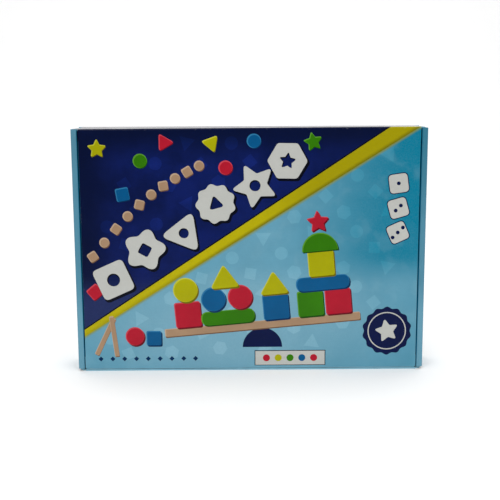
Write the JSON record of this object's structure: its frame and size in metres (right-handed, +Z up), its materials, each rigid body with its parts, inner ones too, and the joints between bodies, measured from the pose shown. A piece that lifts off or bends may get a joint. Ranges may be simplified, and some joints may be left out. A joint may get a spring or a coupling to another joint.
{
  "type": "boxed wooden acrobat balancing set",
  "caption": "Boxed stacking toy: hinged tuck-in board carton with an insert that holds interlocking wooden acrobat figures, balancing sticks and a leaflet.",
  "frame": {"origin": "middle of the carton's footprint on the surface that it stands on", "axes": "+Z up, +X to the right across the lid, -Y out of the lid towards the viewer"},
  "size_m": [0.35, 0.05, 0.245],
  "materials": {
    "print_blue": "glossy laminated print on white-lined micro-flute board",
    "print_navy": "glossy laminated print on white-lined micro-flute board",
    "print_lid": "glossy laminated print in navy, yellow and light blue",
    "kraft_board": "bare kraft board",
    "paint_green": "satin paint on beech",
    "paint_blue": "satin paint on beech",
    "paint_red": "satin paint on beech",
    "paint_yellow": "satin paint on beech",
    "bare_wood": "sanded bare wood",
    "leaflet_paper": "matt coated paper"
  },
  "bodies": {
    "case": {"base_panel": "print_blue", "hinge_wall": "print_navy", "tuck_wall": "print_blue", "side_wall_left": "print_blue", "side_wall_right": "print_blue", "corner_flap_top_left": "print_blue", "corner_flap_top_right": "print_blue", "corner_flap_bottom_left": "print_blue", "corner_flap_bottom_right": "print_blue", "insert_tray": "kraft_board"},
    "lid": {"lid_panel": "print_lid"},
    "tuck_flap": {"tuck_flap": "print_blue"},
    "dust_flap_left": {"dust_flap_left": "print_blue"},
    "dust_flap_right": {"dust_flap_right": "print_blue"},
    "acrobat_green_1": {"acrobat_green_1": "paint_green"},
    "acrobat_blue_1": {"acrobat_blue_1": "paint_blue"},
    "acrobat_red_1": {"acrobat_red_1": "paint_red"},
    "acrobat_yellow_1": {"acrobat_yellow_1": "paint_yellow"},
    "acrobat_yellow_2": {"acrobat_yellow_2": "paint_yellow"},
    "acrobat_green_2": {"acrobat_green_2": "paint_green"},
    "acrobat_blue_2": {"acrobat_blue_2": "paint_blue"},
    "acrobat_red_2": {"acrobat_red_2": "paint_red"},
    "acrobat_red_3": {"acrobat_red_3": "paint_red"},
    "acrobat_yellow_3": {"acrobat_yellow_3": "paint_yellow"},
    "acrobat_green_3": {"acrobat_green_3": "paint_green"},
    "acrobat_blue_3": {"acrobat_blue_3": "paint_blue"},
    "acrobat_blue_4": {"acrobat_blue_4": "paint_blue"},
    "acrobat_red_4": {"acrobat_red_4": "paint_red"},
    "acrobat_yellow_4": {"acrobat_yellow_4": "paint_yellow"},
    "acrobat_green_4": {"acrobat_green_4": "paint_green"},
    "stick_1": {"stick_1": "bare_wood"},
    "stick_2": {"stick_2": "bare_wood"},
    "stick_3": {"stick_3": "bare_wood"},
    "stick_4": {"stick_4": "bare_wood"},
    "leaflet": {"rules_leaflet": "leaflet_paper"}
  },
  "joints": [
    {"name": "lid_hinge", "type": "hinge", "parent": "case", "child": "lid", "pos_m": [0, -0.0242, 0.2442], "axis": [-1, 0, 0], "range_deg": [0, 178]},
    {"name": "tuck_flap_fold", "type": "hinge", "parent": "lid", "child": "tuck_flap", "pos_m": [0, -0.0242, 0.0027], "axis": [-1, 0, 0], "range_deg": [0, 96]},
    {"name": "dust_flap_left_fold", "type": "hinge", "parent": "lid", "child": "dust_flap_left", "pos_m": [-0.1671, -0.0242, 0.1225], "axis": [0, 0, 1], "range_deg": [0, 90]},
    {"name": "dust_flap_right_fold", "type": "hinge", "parent": "lid", "child": "dust_flap_right", "pos_m": [0.1671, -0.0242, 0.1225], "axis": [0, 0, -1], "range_deg": [0, 90]},
    {"name": "acrobat_green_1_lift", "type": "slide", "parent": "case", "child": "acrobat_green_1", "axis": [0, -1, 0], "range_m": [0, 0.0175]},
    {"name": "acrobat_blue_1_lift", "type": "slide", "parent": "case", "child": "acrobat_blue_1", "axis": [0, -1, 0], "range_m": [0, 0.0175]},
    {"name": "acrobat_red_1_lift", "type": "slide", "parent": "case", "child": "acrobat_red_1", "axis": [0, -1, 0], "range_m": [0, 0.0175]},
    {"name": "acrobat_yellow_1_lift", "type": "slide", "parent": "case", "child": "acrobat_yellow_1", "axis": [0, -1, 0], "range_m": [0, 0.0175]},
    {"name": "acrobat_yellow_2_lift", "type": "slide", "parent": "case", "child": "acrobat_yellow_2", "axis": [0, -1, 0], "range_m": [0, 0.0175]},
    {"name": "acrobat_green_2_lift", "type": "slide", "parent": "case", "child": "acrobat_green_2", "axis": [0, -1, 0], "range_m": [0, 0.0175]},
    {"name": "acrobat_blue_2_lift", "type": "slide", "parent": "case", "child": "acrobat_blue_2", "axis": [0, -1, 0], "range_m": [0, 0.0175]},
    {"name": "acrobat_red_2_lift", "type": "slide", "parent": "case", "child": "acrobat_red_2", "axis": [0, -1, 0], "range_m": [0, 0.0175]},
    {"name": "acrobat_red_3_lift", "type": "slide", "parent": "case", "child": "acrobat_red_3", "axis": [0, -1, 0], "range_m": [0, 0.0175]},
    {"name": "acrobat_yellow_3_lift", "type": "slide", "parent": "case", "child": "acrobat_yellow_3", "axis": [0, -1, 0], "range_m": [0, 0.0175]},
    {"name": "acrobat_green_3_lift", "type": "slide", "parent": "case", "child": "acrobat_green_3", "axis": [0, -1, 0], "range_m": [0, 0.0175]},
    {"name": "acrobat_blue_3_lift", "type": "slide", "parent": "case", "child": "acrobat_blue_3", "axis": [0, -1, 0], "range_m": [0, 0.0175]},
    {"name": "acrobat_blue_4_lift", "type": "slide", "parent": "case", "child": "acrobat_blue_4", "axis": [0, -1, 0], "range_m": [0, 0.0175]},
    {"name": "acrobat_red_4_lift", "type": "slide", "parent": "case", "child": "acrobat_red_4", "axis": [0, -1, 0], "range_m": [0, 0.0175]},
    {"name": "acrobat_yellow_4_lift", "type": "slide", "parent": "case", "child": "acrobat_yellow_4", "axis": [0, -1, 0], "range_m": [0, 0.0175]},
    {"name": "acrobat_green_4_lift", "type": "slide", "parent": "case", "child": "acrobat_green_4", "axis": [0, -1, 0], "range_m": [0, 0.0175]},
    {"name": "stick_1_lift", "type": "slide", "parent": "case", "child": "stick_1", "axis": [0, -1, 0], "range_m": [0, 0.0175]},
    {"name": "stick_2_lift", "type": "slide", "parent": "case", "child": "stick_2", "axis": [0, -1, 0], "range_m": [0, 0.0175]},
    {"name": "stick_3_lift", "type": "slide", "parent": "case", "child": "stick_3", "axis": [0, -1, 0], "range_m": [0, 0.0175]},
    {"name": "stick_4_lift", "type": "slide", "parent": "case", "child": "stick_4", "axis": [0, -1, 0], "range_m": [0, 0.0175]},
    {"name": "leaflet_lift", "type": "slide", "parent": "case", "child": "leaflet", "axis": [0, -1, 0], "range_m": [0, 0.02]}
  ],
  "couplings": [
    {"joint": "tuck_flap_fold", "follows": "lid_hinge", "ratio": 0.53933},
    {"joint": "dust_flap_left_fold", "follows": "lid_hinge", "ratio": 0.50562},
    {"joint": "dust_flap_right_fold", "follows": "lid_hinge", "ratio": 0.50562}
  ]
}
